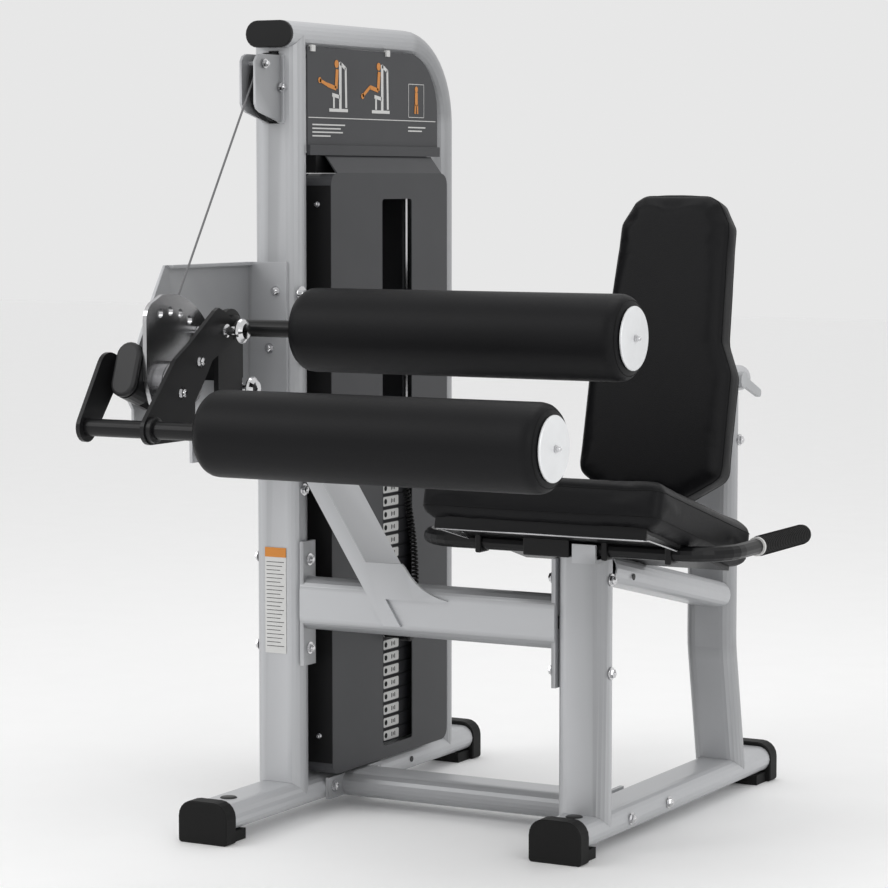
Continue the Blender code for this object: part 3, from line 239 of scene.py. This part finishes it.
def fasteners(name, places, body, size=0.0085):
    """Hex heads with a washer and a shallow dome."""
    shape = bmesh.new()
    for x, y, z, facing in places:
        place = at(x, y, z)
        disc(shape, place, facing, size * 1.35, 0.0002, 0.0018, 28)
        disc(shape, place, facing, size, 0.0018, 0.0068, 6)
        disc(shape, place, facing, size * 0.84, 0.0068, 0.0082, 20, size * 0.62)
        disc(shape, place, facing, size * 0.50, 0.0082, 0.0095, 16, size * 0.42)
    return from_bmesh(name, shape, M["chrome"], body, 28.0)


def tube(name, points, radius, mat, body, cyclic=False, resolution=6):
    curve = bpy.data.curves.new(name, "CURVE")
    curve.dimensions = "3D"
    curve.bevel_depth = radius
    curve.bevel_resolution = resolution
    curve.use_fill_caps = True
    spline = curve.splines.new("POLY")
    spline.points.add(len(points) - 1)
    for knot, point in zip(spline.points, points):
        knot.co = (*point, 1.0)
    spline.use_cyclic_u = cyclic
    spline.use_smooth = True
    holder = bpy.data.objects.new(name + "_line", curve)
    SCENE.collection.objects.link(holder)
    mesh = bpy.data.meshes.new_from_object(
        holder.evaluated_get(bpy.context.evaluated_depsgraph_get()))
    bpy.data.objects.remove(holder)
    mesh.shade_smooth()
    return add(name, mesh, mat, body)


# ---------------------------------------------------------------- pads
def pad_from(node, name, body, inset, cap, voxel=0.006):
    """Stuffed pad grown out of a slightly smaller copy of its CAD solid."""
    source = NODES[node]
    obj = bpy.data.objects.new(name, source.data.copy())
    SCENE.collection.objects.link(obj)
    bpy.context.view_layer.objects.active = obj
    middle = sum(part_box(node), Vector()) / 2
    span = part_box(node)[1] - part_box(node)[0]
    scale = Matrix.Diagonal([1 - 2 * inset / side for side in span] + [1.0])
    obj.data.transform(Matrix.Translation(middle) @ scale @ Matrix.Translation(-middle))
    remesh = obj.modifiers.new("even", "REMESH")
    remesh.mode = "VOXEL"
    remesh.voxel_size = voxel
    start = apply_all(obj)
    cloth = obj.modifiers.new("stuffing", "CLOTH")
    cloth.settings.use_pressure = True
    cloth.settings.uniform_pressure_force = 4.0
    cloth.settings.effector_weights.gravity = 0.0
    cloth.settings.quality = 5
    for step in range(1, 21):
        SCENE.frame_set(step)
    apply_all(obj)
    for vertex, before in zip(obj.data.vertices, start):
        moved = vertex.co - before
        if moved.length > cap:
            vertex.co = before + moved.normalized() * cap
    SCENE.frame_set(1)
    smooth = obj.modifiers.new("relax", "SMOOTH")
    smooth.factor = 0.5
    smooth.iterations = 3
    finer = obj.modifiers.new("finer", "SUBSURF")
    finer.levels = 1
    finer.render_levels = 1
    apply_all(obj)
    obj.data.shade_smooth()
    obj.data.materials.clear()
    obj.data.materials.append(M["pad_vinyl"])
    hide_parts(node)
    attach(obj, body)
    return obj


def apply_all(obj):
    """Bake the modifiers into the mesh and return its points."""
    graph = bpy.context.evaluated_depsgraph_get()
    mesh = bpy.data.meshes.new_from_object(obj.evaluated_get(graph))
    obj.modifiers.clear()
    obj.data = mesh
    return [vertex.co.copy() for vertex in mesh.vertices]


ankle_cover = pad_from("ankle_roller_pad", "ankle_roller_cover", "ankle_roller", 0.0015, 0.0018)
thigh_cover = pad_from("thigh_roller_pad", "thigh_roller_cover", "thigh_roller", 0.0015, 0.0018)
seat_cushion = pad_from("seat_pad", "seat_cushion", "frame", 0.003, 0.006, 0.0055)
back_cushion = pad_from("backrest_pad", "backrest_cushion", "backrest", 0.003, 0.006, 0.0055)


def seam(name, pad, line, body, radius=0.0009):
    """Stitched welt that lies on a pad's own surface along a closed line near it."""
    points = []
    for start, end in zip(line, line[1:] + line[:1]):
        parts = max(1, round((end - start).length / 0.008))
        for step in range(parts):
            found, spot, facing, _ = pad.closest_point_on_mesh(start.lerp(end, step / parts))
            if found:
                points.append(spot + facing * radius * 0.15)
    return tube(name, points, radius, THREAD, body, cyclic=True, resolution=2)


def ring(x, centre, radius, count=48):
    """Circle of points about a roller's axis."""
    return [at(x, centre[0] + radius * math.cos(2 * math.pi * i / count),
               centre[1] + radius * math.sin(2 * math.pi * i / count)) for i in range(count)]


for name, pad, centre, ends in (("ankle_roller", ankle_cover, ANKLE, ANKLE_ENDS),
                                ("thigh_roller", thigh_cover, THIGH, THIGH_ENDS)):
    seam(name + "_seam_near", pad, ring(ends[1] - 0.002, centre, 0.066), name)
    seam(name + "_seam_far", pad, ring(ends[0] + 0.002, centre, 0.066), name)


def tilted(middle, x, y, z, degrees):
    """Point offset from a pad's middle in its own tilted axes."""
    return at(*middle) + Matrix.Rotation(-math.radians(degrees), 3, "X") @ Vector((x, y, z))


def seat_point(x, y, z):
    return tilted(SEAT_TOP, x, y, z, SEAT_TILT)


def back_point(x, y, z):
    return tilted(BACK_MID, x, y, z, BACK_TILT)


def seat_seams():
    """Two welts round the seat, near its top and near its underside."""
    corners = [(-0.228, -0.215), (0.228, -0.215), (0.240, -0.203), (0.240, 0.203),
               (0.228, 0.215), (-0.228, 0.215), (-0.240, 0.203), (-0.240, -0.203)]
    for name, depth in (("upper", -0.014), ("lower", -0.066)):
        line = [seat_point(x, y, depth) for x, y in corners]
        seam("seat_seam_" + name, seat_cushion, line, "frame")


def backrest_seams():
    """Two welts round the waisted backrest, near its front and near its back."""
    half = [(0.080, -0.306), (0.097, -0.294), (0.154, -0.259), (0.154, -0.062), (0.150, -0.049),
            (0.128, 0.003), (0.123, 0.108), (0.116, 0.231), (0.089, 0.276), (0.068, 0.288)]
    outline = half + [(-x, z) for x, z in half[::-1]]
    for name, depth in (("front", -0.021), ("back", 0.024)):
        line = [back_point(x, depth, z) for x, z in outline]
        seam("backrest_seam_" + name, back_cushion, line, "backrest")


seat_seams()
backrest_seams()


# ---------------------------------------------------------------- selector lanyard, coiled
PIN_Z = STACK_LOW + (RESTING + 0.5) * PLATE_PITCH
WIRE, COIL = 0.0040, 0.0056


def smooth_route(route, parts):
    """Points on a smooth curve through the route's points."""
    knots = [2 * route[0] - route[1], *route, 2 * route[-1] - route[-2]]
    line = []
    for index in range(1, len(knots) - 2):
        before, start, end, after = knots[index - 1:index + 3]
        for step in range(parts):
            t = step / parts
            line.append(0.5 * (2 * start + (end - before) * t
                               + (2 * before - 5 * start + 4 * end - after) * t * t
                               + (3 * start - before - 3 * end + after) * t ** 3))
    return line + [route[-1]]


def coil_lanyard():
    """Curly cord from the head plate to the selector pin's knob, with short straight ends."""
    route = [(0.0620, 0.302, 0.636), (0.0780, 0.304, 0.634), (0.0890, 0.310, 0.618),
             (0.0930, 0.318, 0.575), (0.1000, 0.326, 0.500), (0.1050, 0.325, 0.440),
             (0.1060, 0.322, 0.400), (0.1060, 0.310, 0.370), (0.1060, 0.292, 0.352),
             (0.1060, 0.287, PIN_Z + 0.0185)]
    line = smooth_route([at(*point) for point in route], 40)
    reach = [0.0]
    for start, end in zip(line, line[1:]):
        reach.append(reach[-1] + (end - start).length)
    turns, each = 44, 14
    points, index = [], 0
    for step in range(turns * each + 1):
        along = reach[-1] * step / (turns * each)
        while index < len(line) - 2 and reach[index + 1] < along:
            index += 1
        share = (along - reach[index]) / (reach[index + 1] - reach[index])
        spot = line[index].lerp(line[index + 1], share)
        heading = (line[index + 1] - line[index]).normalized()
        side = heading.cross(Vector((0, 1, 0))).normalized()
        other = heading.cross(side)
        angle = 2 * math.pi * step / each
        wide = COIL * min(1.0, along / 0.014, (reach[-1] - along) / 0.014)
        points.append(spot + wide * (math.cos(angle) * side + math.sin(angle) * other))
    mesh_tube = tube("selector_coil", points, WIRE / 2, M["rubber"], None, resolution=2)
    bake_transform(mesh_tube)
    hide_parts("selector_lanyard")


coil_lanyard()

# ---------------------------------------------------------------- fasteners
def bolts_on_frame():
    """Bolts through both uprights' flanges, the base tubes, the brace and the rear upright."""
    tower = [(-0.0503, 0, z, "-X") for z in FLANGE_BOLTS_Z]
    tower += [(TOWER_FLANGE, 0, z, "X") for z in FLANGE_BOLTS_Z]
    tower += [(TOWER_FLANGE, y, z, "X") for y, z in LOW_CROSS_BOLTS]
    fasteners("tower_bolts", tower + [(0.0503, -0.006, 0.627, "X")], "frame")
    seat = [(SEAT_SIDE, 0, z, "X") for z in FLANGE_BOLTS_Z]
    seat += [(SEAT_FLANGE, -0.013, z, "-X") for z in FLANGE_BOLTS_Z]
    seat += [(SEAT_SIDE, y, z, "X") for y, z in LOW_CROSS_BOLTS]
    fasteners("seat_bolts", seat + [(SEAT_SIDE, 0.575, 0.703, "X")], "frame")


bolts_on_frame()
fasteners("side_plate_bolts", [(x, SIDE_PLATE_Y, z, "-Y") for x, z in
                               ((0.006, 0.999), (-0.008, 0.892), (0.010, 0.730))],
          "frame", 0.0072)
fasteners("ankle_plate_bolts", [(0.0703, -0.388, 0.888, "X"), (0.0703, -0.447, 0.836, "X")],
          "leg_lever", 0.0082)
fasteners("pulley_bolts", [(0.0207, -0.033, 1.377, "X"), (0.0207, -0.0885, 1.4185, "X")],
          "frame", 0.0066)
for roller, centre, ends in (("ankle", ANKLE, ANKLE_ENDS), ("thigh", THIGH, THIGH_ENDS)):
    fasteners(roller + "_cap_screw", [(ends[1] + CAP_OUT, *centre, "X")], roller + "_roller",
              0.0046)


def tower_studs():
    """Two turned studs that stand out from the tower's side."""
    shape = bmesh.new()
    for y, z, radius, reach in ((-0.012, 0.992, 0.0110, 0.035), (-0.010, 0.868, 0.0060, 0.030)):
        foot = at(TOWER_SIDE, y, z)
        head, crown = reach - 0.009, reach - 0.002
        disc(shape, foot, "X", radius * 1.5, 0.0, 0.0016, 28)
        disc(shape, foot, "X", radius * 0.82, 0.0016, head, 28)
        disc(shape, foot, "X", radius, head, crown, 28)
        disc(shape, foot, "X", radius, crown, reach, 28, radius * 0.8)
    from_bmesh("tower_studs", shape, M["chrome"], "frame", 28.0)


def cover_return():
    """Painted shade: a near-black sheet over the near cover's front return, which is black and
    also lies in shade, and near-black sheets behind its hood that fill the gap where there is
    only shade; two screws.
    """
    shape = bmesh.new()
    slab(shape, (0.0206, 0.0500, 0.0985), (0.0770, 0.0513, 1.195))
    # Painted shade: thin dark sheets in the gap behind the hood, where there is only shade.
    slab(shape, (0.0440, 0.0514, 1.2185), (0.0458, 0.4800, 1.2575))
    slab(shape, (0.0206, 0.0500, 1.2185), (0.0458, 0.0513, 1.2575))
    from_bmesh("cover_return_and_gap_painted_shade", shape, SHADE, "frame")
    screws = [(0.049, 0.0499, z, "-Y") for z in (1.160, 0.150)]
    fasteners("cover_screws", screws, "frame", 0.0042)


tower_studs()
cover_return()


def collars(name, x, centre, body):
    """Black collar on a roller's shaft, outside the plate that carries it."""
    shape = bmesh.new()
    disc(shape, at(x, *centre), "X", 0.0225, 0.0, 0.0090, 36)
    disc(shape, at(x, *centre), "X", 0.0225, 0.0090, 0.0115, 36, 0.0195)
    return from_bmesh(name, shape, M["black_paint"], body)


collars("ankle_shaft_collar", 0.0705, ANKLE, "leg_lever")
collars("thigh_shaft_collar", 0.0455, THIGH, "thigh_slide")


# ---------------------------------------------------------------- placard, notice and plate tags
def prints(name, shapes, mat, x=TOWER_SIDE, body="frame"):
    """Flat printed shapes on a face that looks along +X; each is a list of (Y, Z)."""
    shape = bmesh.new()
    for outline in shapes:
        verts = [shape.verts.new(at(x, y, z)) for y, z in outline]
        face = shape.faces.new(verts)
        if face.normal.x < 0:
            face.normal_flip()
        out = bmesh.ops.extrude_face_region(shape, geom=[face])
        moved = [item for item in out["geom"] if isinstance(item, bmesh.types.BMVert)]
        bmesh.ops.translate(shape, verts=moved, vec=(0.0003, 0, 0))
    bmesh.ops.recalc_face_normals(shape, faces=shape.faces)
    return from_bmesh(name, shape, mat, body)


def bar(y0, z0, y1, z1, wide):
    """Outline of a straight stroke between two points."""
    along = Vector((y1 - y0, z1 - z0)).normalized() * wide / 2
    side = Vector((-along.y, along.x))
    return [(y0 + side.x, z0 + side.y), (y1 + side.x, z1 + side.y),
            (y1 - side.x, z1 - side.y), (y0 - side.x, z0 - side.y)]


def round_dot(y, z, radius, count=18):
    return [(y + radius * math.cos(2 * math.pi * i / count),
             z + radius * math.sin(2 * math.pi * i / count)) for i in range(count)]


def rounded(y0, z0, y1, z1, radius, steps=4):
    """Outline of a rectangle with round corners."""
    points = []
    for y, z, first in ((y1 - radius, z0 + radius, -90), (y1 - radius, z1 - radius, 0),
                        (y0 + radius, z1 - radius, 90), (y0 + radius, z0 + radius, 180)):
        for step in range(steps + 1):
            angle = math.radians(first + 90 * step / steps)
            points.append((y + radius * math.cos(angle), z + radius * math.sin(angle)))
    return points


def stroke_box(y0, z0, y1, z1, wide):
    return [bar(y0, z0, y1, z0, wide), bar(y0, z1, y1, z1, wide),
            bar(y0, z0, y0, z1, wide), bar(y1, z0, y1, z1, wide)]


def placard():
    """Generic drawings of the exercise's two ends and of the muscle, with ruled lines below."""
    machine, figures = [], []
    for start, base, lift in ((0.103, 0.092, 0.0), (0.263, 0.253, -0.026)):
        machine += [bar(start + 0.030, 1.340, start + 0.030, 1.428, 0.009),
                    bar(base, 1.337, base + 0.069, 1.337, 0.006),
                    bar(start + 0.030, 1.426, start + 0.050, 1.416, 0.007),
                    bar(start + 0.050, 1.418, start + 0.052, 1.342, 0.007),
                    bar(start, 1.366, start + 0.028, 1.362, 0.007),
                    bar(start + 0.006, 1.341, start + 0.006, 1.362, 0.006)]
        figures += [round_dot(start + 0.016, 1.424, 0.0075),
                    bar(start + 0.018, 1.414, start + 0.014, 1.378, 0.010),
                    bar(start + 0.014, 1.378, start - 0.018, 1.384, 0.008),
                    bar(start - 0.018, 1.384, start - 0.046, 1.392 + lift, 0.0065),
                    round_dot(start - 0.046, 1.392 + lift, 0.0055)]
    figures += [round_dot(0.429, 1.384, 0.006), bar(0.429, 1.378, 0.429, 1.352, 0.011),
                bar(0.425, 1.354, 0.424, 1.336, 0.0055), bar(0.433, 1.354, 0.434, 1.336, 0.0055)]
    machine += stroke_box(0.398, 1.329, 0.460, 1.394, 0.0012)
    machine += [bar(0.016, 1.322, 0.508, 1.322, 0.0016)]
    machine += [bar(y, z, y + reach, z, 0.0026) for y, z, reach in
                ((0.030, 1.309, 0.120), (0.030, 1.302, 0.104), (0.030, 1.295, 0.112),
                 (0.030, 1.288, 0.066), (0.396, 1.309, 0.070), (0.396, 1.302, 0.056))]
    prints("placard_marks", machine, WHITE)
    prints("placard_figures", figures, ORANGE, 0.0505)


def notice():
    """Notice on the tower's front: a white panel, an orange header and ruled lines."""
    left, right, rows, step = -0.0235, 0.0225, 22, 0.0076
    shape = bmesh.new()
    slab(shape, (left, STICKER_Y - 0.0007, 0.316), (right, STICKER_Y, 0.514))
    from_bmesh("notice_panel", shape, WHITE, "frame")
    shape = bmesh.new()
    slab(shape, (left, STICKER_Y - 0.0011, 0.4985), (right, STICKER_Y - 0.0001, 0.5165))
    from_bmesh("notice_header", shape, ORANGE, "frame")
    shape = bmesh.new()
    for row in range(rows):
        reach = 0.018 - 0.004 * ((row * 7) % 3)
        low = 0.4885 - step * row
        slab(shape, (-0.020, STICKER_Y - 0.0010, low), (reach, STICKER_Y - 0.0004, low + 0.0011))
    from_bmesh("notice_rules", shape, PLACARD, "frame")


placard()
notice()


def plate_labels(name, first, count, body):
    """Rounded white tag on each plate's edge, with the pin hole at its near end."""
    tags, holes = [], bmesh.new()
    for index in range(first, first + count):
        z = STACK_LOW + (index + 0.5) * PLATE_PITCH
        tags.append(rounded(0.277, z - 0.00925, 0.337, z + 0.00925, 0.0032))
        disc(holes, at(0.0604, PIN_Y, z), "X", 0.0052, 0.0, 0.0006, 20)
        for y, tall in ((0.308, 0.0042), (0.314, 0.0030), (0.320, 0.0042)):
            slab(holes, (0.0604, y, z - tall), (0.0608, y + 0.0022, z + tall))
    prints(name, tags, WHITE, 0.0601, body)
    from_bmesh(name + "_holes", holes, M["rubber"], body)


plate_labels("resting_tags", 0, RESTING, "frame")
plate_labels("lifted_tags", RESTING, PLATES - RESTING, "lifted_stack")

# ---------------------------------------------------------------- small trim
def placard_clips():
    shape = bmesh.new()
    for y, z in ((0.030, 1.4525), (0.312, 1.4525)):
        slab(shape, (0.0470, y - 0.007, z - 0.008), (0.0535, y + 0.007, z + 0.004))
    from_bmesh("placard_clips", shape, WHITE, "frame")


def hole_plugs():
    """Plugs in the anchor holes on the base tubes and in the holes in two tubes' sides."""
    shape = bmesh.new()
    for x, y, radius in ((0.0, -0.195, 0.016), (SEAT_X, -0.045, 0.016)):
        disc(shape, at(x, y, 0.0703), "Z", radius, 0.0, 0.0018, 32, radius * 0.86)
    for place in ((TOWER_SIDE, 0.408, 0.045), (SEAT_SIDE, 0.093, 0.490)):
        disc(shape, at(*place), "X", 0.0060, 0.0, 0.0010, 20)
    from_bmesh("hole_plugs", shape, M["nylon"], "frame")


def grips():
    """Ribs along each rubber grip, and the white ring at its inner end."""
    ribs, rings = bmesh.new(), bmesh.new()
    for x in GRIPS_X:
        for index in range(26):
            place = at(x, 0.140 + 0.0078 * index, HANDLE_Z)
            disc(ribs, place, "Y", 0.0186, 0.0, 0.0032, 32, 0.0180)
        disc(rings, at(x, 0.1235, HANDLE_Z), "Y", 0.0172, 0.0, 0.0060, 36)
    from_bmesh("grip_ribs", ribs, M["rubber"], "frame")
    from_bmesh("grip_rings", rings, WHITE, "frame")


def seat_pan_edge():
    """Bright edge of the metal pan, across the seat's front and back along both sides."""
    pan = [seat_point(-0.2035, -0.060, -0.0950), seat_point(-0.2055, -0.1780, -0.0985),
           seat_point(-0.1980, -0.1905, -0.1012), seat_point(0.1980, -0.1905, -0.1012),
           seat_point(0.2055, -0.1780, -0.0985), seat_point(0.2065, -0.0600, -0.0950)]
    tube("seat_pan_edge", pan, 0.0016, M["polished_steel"], "frame",
         resolution=3)


placard_clips()
hole_plugs()
grips()
seat_pan_edge()

# ---------------------------------------------------------------- floor, light and camera
bpy.ops.mesh.primitive_plane_add(size=40, location=(0, 0, -0.0005))
floor = bpy.context.object
floor.name = "floor"
floor.data.materials.append(FLOOR)

world = bpy.data.worlds.new("studio")
world.use_nodes = True
world.node_tree.nodes["Background"].inputs[0].default_value = (1, 1, 1, 1)
world.node_tree.nodes["Background"].inputs[1].default_value = 0.80
SCENE.world = world


def area_light(name, place, target, size, power):
    light = bpy.data.lights.new(name, "AREA")
    light.size = size
    light.energy = power
    obj = bpy.data.objects.new(name, light)
    SCENE.collection.objects.link(obj)
    obj.location = place
    obj.rotation_euler = (Vector(target) - Vector(place)).to_track_quat("-Z", "Y").to_euler()


area_light("key", (-2.6, -3.2, 3.4), (0, 0, 0.8), 2.2, 42)
area_light("fill", (3.4, -2.6, 2.4), (0, 0, 0.8), 2.4, 24)
area_light("top", (0.2, 0.6, 4.2), (0, 0, 0.6), 2.6, 24)

camera_data = bpy.data.cameras.new("camera")
camera_data.lens = 122.77
camera_data.sensor_width = 36.0
camera = bpy.data.objects.new("camera", camera_data)
camera.location = Vector((2.98315, -4.84669, 1.20318)) + ORIGIN
camera.rotation_euler = (math.radians(90 - 4.9587), 0.0, math.radians(28.5475))
SCENE.collection.objects.link(camera)
SCENE.camera = camera
SCENE.view_settings.view_transform = "Standard"
